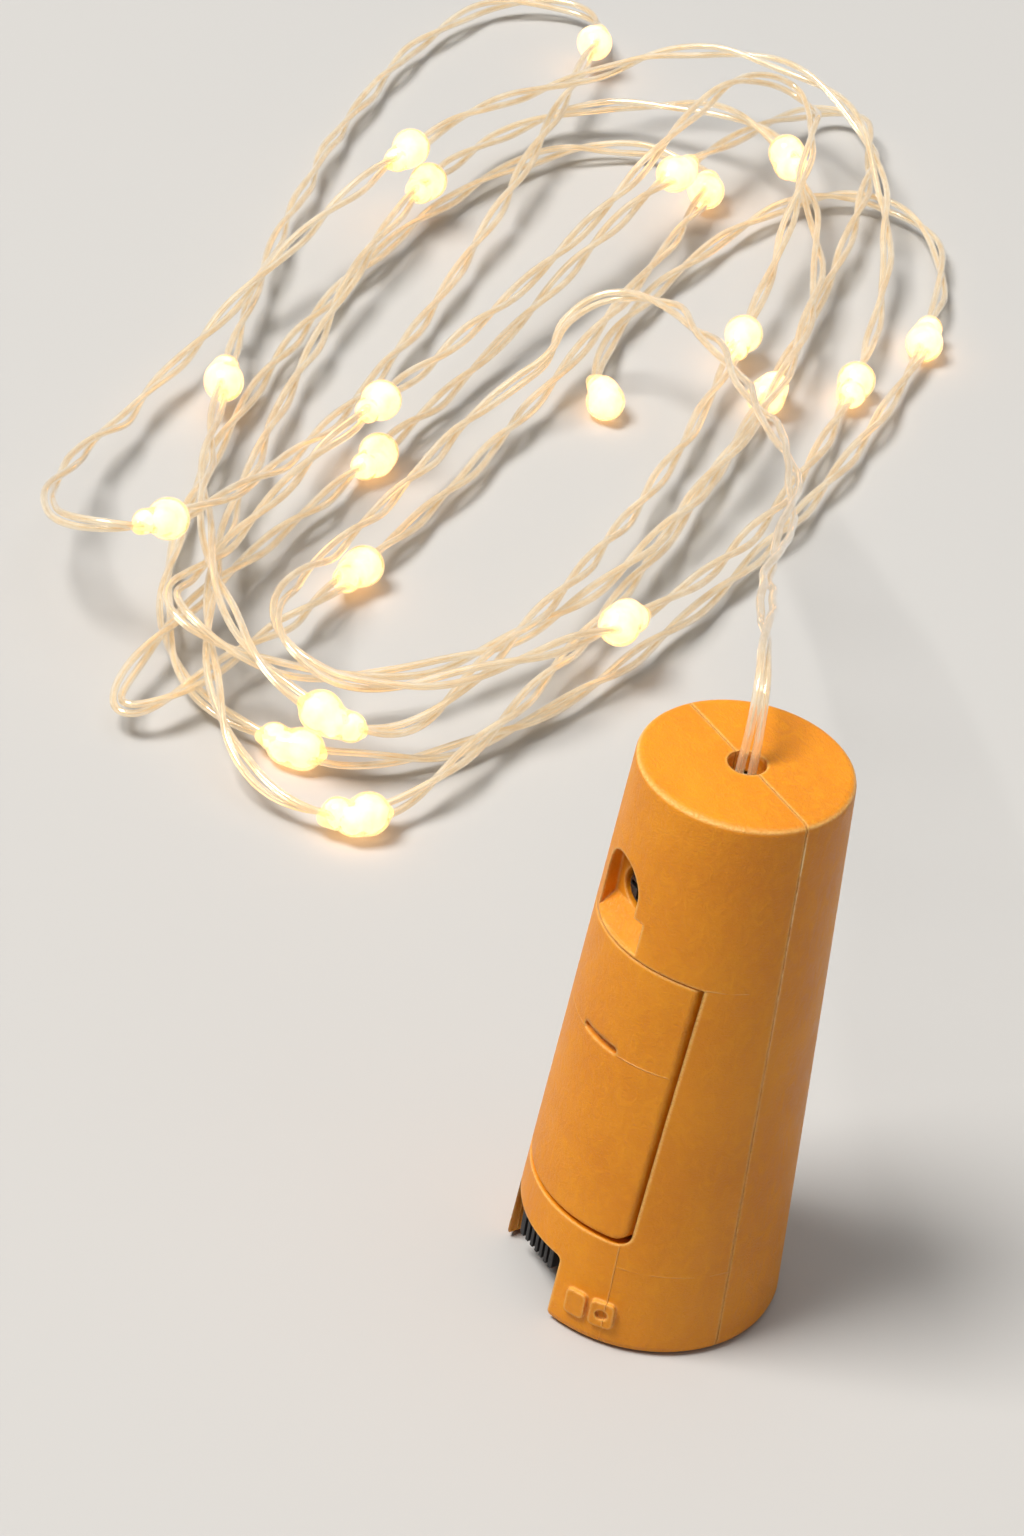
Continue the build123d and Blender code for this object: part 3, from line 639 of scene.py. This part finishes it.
def seam_flash(side, material):
    """Fine line of plastic squeezed out down one side of the seam, fading toward the foot."""
    line = []
    for place in range(flash_points + 1):
        height = flash_high + (flash_low - flash_high) * place / flash_points
        waver = flash_waver * seam_change(place, side, flash_waver_grain)
        change = flash_change * seam_change(place, side, flash_change_grain)
        sink = flash_sink + flash_fade * place / flash_points + change
        line.append(Vector((side * (cork_side(height) - sink), flash_aside + waver, height)))
    vertices, faces = [], []
    tube_mesh(line, flash_radius, flash_sides, vertices, faces)
    name = "seam_flash_right" if side > 0 else "seam_flash_left"
    return mesh_piece(name, vertices, faces, "root", [material])


class Finish:
    """One procedural material: a shader, its coordinates in millimetres, and short ways to add nodes."""

    def __init__(self, name):
        self.material = bpy.data.materials.new(name)
        self.material.use_nodes = True
        self.tree = self.material.node_tree
        self.tree.nodes.clear()
        self.shader = self.tree.nodes.new("ShaderNodeBsdfPrincipled")
        output = self.tree.nodes.new("ShaderNodeOutputMaterial")
        self.tree.links.new(self.shader.outputs["BSDF"], output.inputs["Surface"])
        coordinates = self.tree.nodes.new("ShaderNodeTexCoord")
        self.place = self.vector("SCALE", coordinates.outputs["Object"], scale=1 / mm)

    def put(self, socket, value):
        """Sets a socket, or links it where the value is another node's output."""
        if isinstance(value, bpy.types.NodeSocket):
            self.tree.links.new(value, socket)
        else:
            socket.default_value = value

    def set(self, **inputs):
        """Sets the shader's inputs by name."""
        for name, value in inputs.items():
            self.put(self.shader.inputs[name.replace("_", " ").title().replace("Ior", "IOR")], value)

    def vector(self, operation, first, second=None, scale=None):
        """Result of one vector operation."""
        node = self.tree.nodes.new("ShaderNodeVectorMath")
        node.operation = operation
        self.put(node.inputs[0], first)
        if second is not None:
            self.put(node.inputs[1], second)
        if scale is not None:
            self.put(node.inputs["Scale"], scale)
        return node.outputs["Value"] if operation == "DOT_PRODUCT" else node.outputs["Vector"]

    def maths(self, operation, first, second=0.0):
        """Result of one operation on numbers."""
        node = self.tree.nodes.new("ShaderNodeMath")
        node.operation = operation
        for socket, value in zip(node.inputs, (first, second)):
            self.put(socket, value)
        return node.outputs["Value"]

    def noise(self, per_mm, detail=3.0, rough=0.5, stretch=(1, 1, 1), distortion=0.0):
        """Smooth noise through the piece."""
        node = self.tree.nodes.new("ShaderNodeTexNoise")
        self.put(node.inputs["Vector"], self.vector("MULTIPLY", self.place, stretch))
        node.inputs["Scale"].default_value = per_mm
        node.inputs["Detail"].default_value = detail
        node.inputs["Roughness"].default_value = rough
        node.inputs["Distortion"].default_value = distortion
        return node.outputs["Fac"]

    def spread(self, value, low, high, to_low=0.0, to_high=1.0):
        """Maps a value between two limits onto two others."""
        node = self.tree.nodes.new("ShaderNodeMapRange")
        node.interpolation_type = "SMOOTHSTEP"
        for socket, number in zip(node.inputs, (value, low, high, to_low, to_high)):
            self.put(socket, number)
        return node.outputs["Result"]

    def mix(self, share, first, second):
        """A share of the second colour over the first."""
        node = self.tree.nodes.new("ShaderNodeMix")
        node.data_type = "RGBA"
        self.put(node.inputs[0], share)
        colours = [socket for socket in node.inputs if socket.type == "RGBA"]
        self.put(colours[0], first)
        self.put(colours[1], second)
        return [socket for socket in node.outputs if socket.type == "RGBA"][0]

    def axes(self):
        """The three coordinates, in millimetres."""
        node = self.tree.nodes.new("ShaderNodeSeparateXYZ")
        self.put(node.inputs[0], self.place)
        return node.outputs["X"], node.outputs["Y"], node.outputs["Z"]

    def line_at(self, value, at, half_width):
        """One on a thin line where the value is at a level, and none beside it."""
        away = self.maths("ABSOLUTE", self.maths("SUBTRACT", value, at))
        return self.spread(away, 0.0, half_width, 1.0, 0.0)

    def between(self, value, low, high, soft=0.6):
        """One where the value is between two levels."""
        above = self.spread(value, low - soft, low)
        below = self.spread(value, high, high + soft, 1.0, 0.0)
        return self.maths("MULTIPLY", above, below)

    def rounded(self, radius):
        """Normal of the surface with its sharp edges rounded."""
        node = self.tree.nodes.new("ShaderNodeBevel")
        node.samples = bevel_samples
        node.inputs["Radius"].default_value = radius * mm
        return node.outputs["Normal"]

    def edges(self, radius):
        """Share of edge, for wear and, on the amber plastic, painted highlight: one on the piece's sharp
        edges, none on its flats.
        """
        softened = self.rounded(radius)
        geometry = self.tree.nodes.new("ShaderNodeNewGeometry")
        level = self.vector("DOT_PRODUCT", softened, geometry.outputs["Normal"])
        return self.spread(level, edge_sharp, edge_flat, 1.0, 0.0)

    def relief(self, height, depth, rounding=0.0):
        """Bump from a height, over softened edges where a rounding is given."""
        node = self.tree.nodes.new("ShaderNodeBump")
        node.inputs["Distance"].default_value = depth * mm
        self.put(node.inputs["Height"], height)
        if rounding:
            self.put(node.inputs["Normal"], self.rounded(rounding))
        self.put(self.shader.inputs["Normal"], node.outputs["Normal"])


def amber_base(finish, marks, rounding):
    """Amber plastic: faint flow clouds, short fine streaks, scuffs, pale edges that are partly wear and
    partly painted highlight, a painted highlight line round the top rim, and mould marks.
    """
    clouds = finish.noise(0.09, detail=3.0, rough=0.5, distortion=0.4)
    streaks = finish.noise(0.9, detail=5.0, rough=0.62, stretch=(1.0, 1.0, 0.55), distortion=1.2)
    grain = finish.noise(3.2, detail=4.0, rough=0.65, stretch=(1.0, 1.0, 1.4), distortion=0.6)
    scuffs = finish.noise(1.5, detail=6.0, rough=0.75, stretch=(1.0, 1.0, 2.2), distortion=2.0)
    scuffs = finish.spread(scuffs, 0.60, 0.72)
    colour = finish.mix(finish.spread(clouds, 0.30, 0.72), amber_deep, amber_bright)
    colour = finish.mix(finish.spread(streaks, 0.40, 0.74, to_high=0.42), colour, amber_streak)
    colour = finish.mix(finish.maths("MULTIPLY", scuffs, scuff_share), colour, amber_scuffed)
    # Pale line round the top rim: a painted highlight, laid on with the edge wear
    rim = finish.line_at(finish.axes()[2], rim_highlight_height, rim_highlight_width)
    # Pale edges: partly wear, partly painted highlight
    wear_and_highlight = finish.maths("MAXIMUM", finish.edges(edge_wear_and_highlight_width), rim)
    wear_and_highlight = finish.maths("MULTIPLY", wear_and_highlight, finish.spread(grain, 0.30, 0.60, 0.35, 0.9))
    colour = finish.mix(wear_and_highlight, colour, amber_wear_and_highlight)
    colour = finish.mix(finish.maths("MULTIPLY", marks, mark_share), colour, amber_mark)
    height = finish.maths("MULTIPLY", grain, grain_relief)
    for form, share in ((streaks, streak_relief), (scuffs, scuff_relief), (marks, mark_relief)):
        height = finish.maths("ADD", height, finish.maths("MULTIPLY", form, share))
    finish.relief(height, amber_depth, rounding)
    roughness = finish.spread(streaks, *noise_span, 0.36, 0.52)
    finish.set(base_color=colour, roughness=roughness, specular_ior_level=0.35)
    finish.set(subsurface_weight=0.15, subsurface_radius=(1.0, 0.38, 0.10), subsurface_scale=0.8 * mm)
    finish.set(ior=plastic_ior)
    return finish.material


def shell_plastic():
    """The two shells' plastic, with the fine lines that the mould left."""
    finish = Finish("amber_shell")
    x, y, z = finish.axes()
    angle = finish.maths("ABSOLUTE", finish.maths("ARCTAN2", x, finish.maths("MULTIPLY", y, -1.0)))
    angle = finish.maths("MULTIPLY", angle, 180 / pi)
    high = finish.maths("MULTIPLY", finish.line_at(z, upper_line_height, upper_line_width),
                        finish.between(angle, upper_line_start, upper_line_end, round_line_soft))
    low = finish.maths("MULTIPLY", finish.line_at(z, lower_line_height, lower_line_width),
                       finish.between(angle, lower_line_start, lower_line_end, round_line_soft))
    upright = finish.maths("MULTIPLY", finish.line_at(angle, upright_line_angle, upright_line_width),
                           finish.between(z, upright_line_low, upright_line_high))
    faint = finish.maths("MULTIPLY", low, lower_line_share)
    marks = finish.maths("MAXIMUM", finish.maths("MAXIMUM", high, faint), upright)
    broken = finish.spread(finish.noise(0.6), 0.36, 0.55, 0.15, 1.0)
    return amber_base(finish, finish.maths("MULTIPLY", marks, broken), shell_rounding)


def door_plastic():
    """The door's plastic, with the mould line on either side of its thumb slot."""
    finish = Finish("amber_door")
    x, y, z = finish.axes()
    aside = finish.maths("ABSOLUTE", finish.maths("SUBTRACT", x, door_slot_aside))
    line = finish.maths("MULTIPLY", finish.line_at(z, door_line_height, door_line_width),
                        finish.between(aside, door_line_start, door_line_end, door_line_soft))
    front = finish.spread(y, door_front, door_front_end, 1.0, 0.0)
    broken = finish.spread(finish.noise(0.7), 0.36, 0.55, 0.2, 1.0)
    marks = finish.maths("MULTIPLY", finish.maths("MULTIPLY", line, front), broken)
    return amber_base(finish, marks, door_rounding)


def flash_plastic():
    """The seam's thin edge: the same plastic, paler toward the top."""
    finish = Finish("amber_flash")
    uneven = finish.spread(finish.noise(0.5, detail=3.0, rough=0.6), 0.38, 0.60, 0.15, 1.0)
    # Paler toward the top, by height alone
    upward = finish.spread(finish.axes()[2], flash_pale_from, flash_pale_to, 0.22, 1.0)
    thin = finish.maths("MULTIPLY", uneven, upward)
    colour = finish.mix(thin, amber_seam, amber_seam_pale)
    finish.relief(finish.noise(3.0), depth=0.03)
    finish.set(base_color=colour, roughness=finish.spread(thin, *noise_span, 0.30, 0.45))
    finish.set(ior=plastic_ior)
    return finish.material


def moulded(name, dark, light, per_mm=1.6, rough=(0.38, 0.55), metallic=0.0, depth=0.02, rounding=0.12):
    """Plain moulded or coated surface: two close colours in fine grain, with edges rubbed lighter."""
    finish = Finish(name)
    grain = finish.noise(per_mm, detail=4.0, rough=0.6)
    cloud = finish.noise(per_mm / 6, detail=2.0, rough=0.5)
    colour = finish.mix(finish.spread(cloud, *noise_core), (*dark, 1), (*light, 1))
    rubbed = tuple(min(1.0, rubbed_gain * channel + rubbed_lift) for channel in light)
    wear = finish.maths("MULTIPLY", finish.edges(rounding), finish.spread(grain, 0.35, 0.6, 0.2, 0.8))
    colour = finish.mix(wear, colour, (*rubbed, 1))
    finish.relief(grain, depth, rounding)
    finish.set(base_color=colour, roughness=finish.spread(grain, *noise_span, *rough), metallic=metallic)
    return finish.material


def brushed(name, dark, light, stretch, rough=(0.22, 0.38)):
    """Metal with fine brushed lines and faint stains."""
    finish = Finish(name)
    lines = finish.noise(5.0, detail=3.0, rough=0.6, stretch=stretch)
    stains = finish.noise(0.35, detail=4.0, rough=0.6)
    stained = tuple(stain_shade * channel for channel in dark)
    colour = finish.mix(finish.spread(lines, *noise_span), (*dark, 1), (*light, 1))
    colour = finish.mix(finish.spread(stains, 0.52, 0.70, to_high=0.35), colour, (*stained, 1))
    finish.relief(lines, depth=0.01, rounding=0.1)
    finish.set(base_color=colour, roughness=finish.spread(stains, *noise_span, *rough), metallic=1.0)
    return finish.material


def clear_sleeve():
    """The string's clear sleeve: a warm tint that is partly painted lamp light, a faint painted glow, smooth,
    with slow lengthways waves.
    """
    finish = Finish("clear_sleeve")
    waves = finish.noise(0.30, detail=2.0, rough=0.5)
    # Warm tint of the sleeve: partly painted lamp light
    colour = finish.mix(finish.spread(waves, *noise_core), (0.950, 0.820, 0.610, 1), (1.000, 0.930, 0.780, 1))
    finish.relief(finish.noise(0.8, detail=1.0), depth=0.03)
    finish.set(base_color=colour, roughness=finish.spread(waves, *noise_span, 0.04, 0.09), ior=1.52)
    finish.set(transmission_weight=0.78, specular_ior_level=0.8, coat_weight=1.0, coat_roughness=0.05)
    # Faint warm glow of the sleeve: painted lamp light, as the sleeve is no lamp
    finish.set(emission_color=(1.0, 0.70, 0.38, 1), emission_strength=0.08)
    return finish.material


def bright_wire():
    """The tinned copper core of each sleeve, with its own fine lay."""
    finish = Finish("bright_wire")
    lay = finish.noise(0.7, detail=2.0, rough=0.5)
    colour = finish.mix(finish.spread(lay, *noise_core), (0.940, 0.820, 0.620, 1), (1.000, 0.940, 0.820, 1))
    finish.relief(lay, depth=0.008)
    finish.set(base_color=colour, roughness=finish.spread(lay, *noise_span, 0.16, 0.26), metallic=1.0)
    return finish.material


def lit_resin():
    """Clear resin warmed by the lamp's light, unevenly tinted."""
    finish = Finish("lit_resin")
    cloud = finish.noise(0.55, detail=3.0, rough=0.5)
    tint = finish.mix(finish.spread(cloud, *noise_core), (1.000, 0.840, 0.580, 1), (1.000, 0.900, 0.700, 1))
    warm = finish.mix(finish.spread(cloud, *noise_core), (1.000, 0.480, 0.130, 1), (1.000, 0.600, 0.220, 1))
    finish.relief(finish.noise(0.9, detail=2.0), depth=0.10)
    finish.set(base_color=tint, roughness=finish.spread(cloud, *noise_span, 0.10, 0.22), ior=1.45)
    finish.set(transmission_weight=0.80, emission_color=warm, emission_strength=0.34)
    return finish.material


def glowing_middle():
    """The light that fills the middle of each lobe, hottest where the grain is clear."""
    finish = Finish("glowing_middle")
    grain = finish.noise(0.8, detail=3.0, rough=0.5)
    colour = finish.mix(finish.spread(grain, *noise_core), (1.000, 0.600, 0.380, 1), (1.000, 0.700, 0.500, 1))
    finish.set(base_color=(1.0, 0.85, 0.55, 1), roughness=finish.spread(grain, *noise_span, 0.4, 0.6))
    finish.set(emission_color=colour, emission_strength=1.40)
    return finish.material


def dress(node, material):
    """Gives a CAD node a finish."""
    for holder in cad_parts[node].material_slots:
        holder.material = material


def dress_cad():
    """Finishes of the rigid pieces that stay as the solids give them."""
    shells = shell_plastic()
    dress("front_shell", shells)
    dress("back_shell", shells)
    dress("battery_door", door_plastic())
    knob = moulded("black_knob", (0.006, 0.006, 0.007), (0.013, 0.012, 0.012), rough=(0.45, 0.60))
    dress("switch_slider", knob)
    screw = moulded("dark_screw", (0.018, 0.017, 0.016), (0.045, 0.042, 0.040),
                    per_mm=2.5, rough=(0.22, 0.36), metallic=0.7)
    dress("shell_screw", screw)
    cells = brushed("cell_steel", (0.50, 0.50, 0.49), (0.78, 0.77, 0.75), (1.0, 1.0, 0.08))
    for number in (1, 2, 3):
        dress(f"battery_cell_{number}", cells)
    plate = brushed("contact_nickel", (0.55, 0.53, 0.48), (0.80, 0.78, 0.72), (0.1, 1.0, 1.0))
    for node in ("negative_contact", "positive_contact", "negative_spring"):
        dress(node, plate)
    metal = brushed("switch_tin", (0.48, 0.48, 0.47), (0.72, 0.72, 0.71), (1.0, 0.1, 1.0))
    dress("switch_housing", metal)
    dress("switch_terminals", metal)
    paper = moulded("switch_board", (0.20, 0.09, 0.03), (0.28, 0.13, 0.05), per_mm=1.2)
    dress("switch_base", paper)
    laminate = moulded("board_laminate", (0.02, 0.14, 0.05), (0.03, 0.20, 0.08),
                       per_mm=1.2, rough=(0.30, 0.42))
    dress("circuit_board", laminate)
    dress("control_chip", moulded("chip_black", (0.012, 0.012, 0.013), (0.030, 0.030, 0.031), per_mm=3.0))
    dress("resistor", moulded("resistor_ceramic", (0.03, 0.03, 0.04), (0.55, 0.53, 0.48), per_mm=0.8))
    black = moulded("black_sleeve", (0.012, 0.012, 0.012), (0.028, 0.027, 0.026),
                    per_mm=2.0, rough=sleeve_rough)
    dress("black_lead", black)
    red = moulded("red_sleeve", (0.42, 0.012, 0.010), (0.55, 0.025, 0.018), per_mm=2.0, rough=sleeve_rough)
    dress("red_lead", red)
    knot = moulded("clear_knot", (0.80, 0.62, 0.38), (0.92, 0.80, 0.58), per_mm=1.4, rough=(0.15, 0.28))
    dress("string_knot", knot)
    dress("string_tails", knot)


def plain_floor():
    """Plain pale floor that keeps the object's shadow, and stays pale where the lamps don't reach."""
    finish = Finish("pale_floor")
    finish.set(base_color=floor_colour, roughness=0.9)
    away = finish.vector("DOT_PRODUCT", finish.place, finish.place)
    away = finish.spread(finish.maths("SQRT", away), floor_near, floor_far, 0.0, floor_shown)
    path = finish.tree.nodes.new("ShaderNodeLightPath")
    finish.set(emission_color=room_colour)
    finish.set(emission_strength=finish.maths("MULTIPLY", away, path.outputs["Is Camera Ray"]))
    corners = [(x * floor_half, y * floor_half, 0) for x, y in ((-1, -1), (1, -1), (1, 1), (-1, 1))]
    mesh = bpy.data.meshes.new("floor")
    mesh.from_pydata(corners, [], [(0, 1, 2, 3)])
    mesh.materials.append(finish.material)
    floor = bpy.data.objects.new("floor", mesh)
    bpy.context.scene.collection.objects.link(floor)


def pale_world():
    """Even pale light from all round, over a background as pale as the floor."""
    world = bpy.data.worlds.new("pale_room")
    bpy.context.scene.world = world
    world.use_nodes = True
    tree = world.node_tree
    background = tree.nodes["Background"]
    background.inputs["Color"].default_value = room_colour
    path = tree.nodes.new("ShaderNodeLightPath")
    strength = tree.nodes.new("ShaderNodeMapRange")
    strength.inputs["To Min"].default_value = world_light
    strength.inputs["To Max"].default_value = world_shown
    shown = path.outputs["Is Camera Ray"]
    for ray in ("Is Glossy Ray", "Is Transmission Ray"):
        either = tree.nodes.new("ShaderNodeMath")
        either.operation = "MAXIMUM"
        tree.links.new(shown, either.inputs[0])
        tree.links.new(path.outputs[ray], either.inputs[1])
        shown = either.outputs["Value"]
    tree.links.new(shown, strength.inputs["Value"])
    tree.links.new(strength.outputs["Result"], background.inputs["Strength"])


def soft_light(name, place, target, size, power, colour):
    """Square soft light aimed at a point."""
    light = bpy.data.lights.new(name, "AREA")
    light.size = size
    light.energy = power
    light.color = colour
    lamp = bpy.data.objects.new(name, light)
    lamp.location = place
    lamp.rotation_euler = (Vector(target) - Vector(place)).to_track_quat("-Z", "Y").to_euler()
    bpy.context.scene.collection.objects.link(lamp)


def turned(bearing, reach, height):
    """A place at a bearing from the cork's front, toward the camera's side."""
    return (reach * sin(radians(bearing)), -reach * cos(radians(bearing)), height)


def studio_lights():
    """Soft key from the camera's left, weak fill from its right, and a soft light from above the string."""
    cork_middle = (0.0, 0.0, 0.03)
    pile_middle = (-0.10, 0.07, 0.0)
    over_pile = (-0.16, 0.20, 3.20)
    soft_light("key", turned(bearing=-20, reach=1.60, height=3.00), cork_middle,
               size=1.30, power=145.0, colour=(1.0, 0.97, 0.93))
    soft_light("fill", turned(bearing=118, reach=3.20, height=1.80), cork_middle,
               size=2.40, power=4.0, colour=(0.98, 0.99, 1.0))
    soft_light("top", over_pile, pile_middle, size=2.40, power=22.0, colour=(1.0, 0.99, 0.97))


def photo_camera():
    """Camera where the photograph was taken from."""
    camera = bpy.data.cameras.new("photo_camera")
    camera.sensor_fit = "AUTO"
    camera.sensor_width = camera_film
    camera.lens = camera_lens
    camera.clip_start = 0.01
    seat = bpy.data.objects.new("photo_camera", camera)
    turn = Matrix.Rotation(radians(lay_angle + camera_bearing), 4, "Z")
    lift = Matrix.Rotation(radians(90 - camera_pitch), 4, "X")
    roll = Matrix.Rotation(radians(camera_roll), 4, "Z")
    stand = Matrix.Translation(turned(lay_angle, camera_reach * mm, camera_height * mm))
    seat.matrix_world = stand @ turn @ lift @ roll
    bpy.context.scene.collection.objects.link(seat)
    bpy.context.scene.camera = seat


def string_of_lights():
    """The string with its lit drops."""
    route, before = string_route()
    line = line_of(route_curve(route))
    string = light_string(line, clear_sleeve(), bright_wire())
    materials = [lit_resin(), glowing_middle()]
    lamps = lamp_places(line, len(route), before)
    drops = [lit_drop(number, centre, heading, materials) for number, (centre, heading) in enumerate(lamps)]


photo_camera()
pale_world()
plain_floor()
studio_lights()
string_of_lights()
dress_cad()
flash = flash_plastic()
seam_flash(1, flash)
seam_flash(-1, flash)
bpy.context.scene.view_settings.view_transform = "Standard"
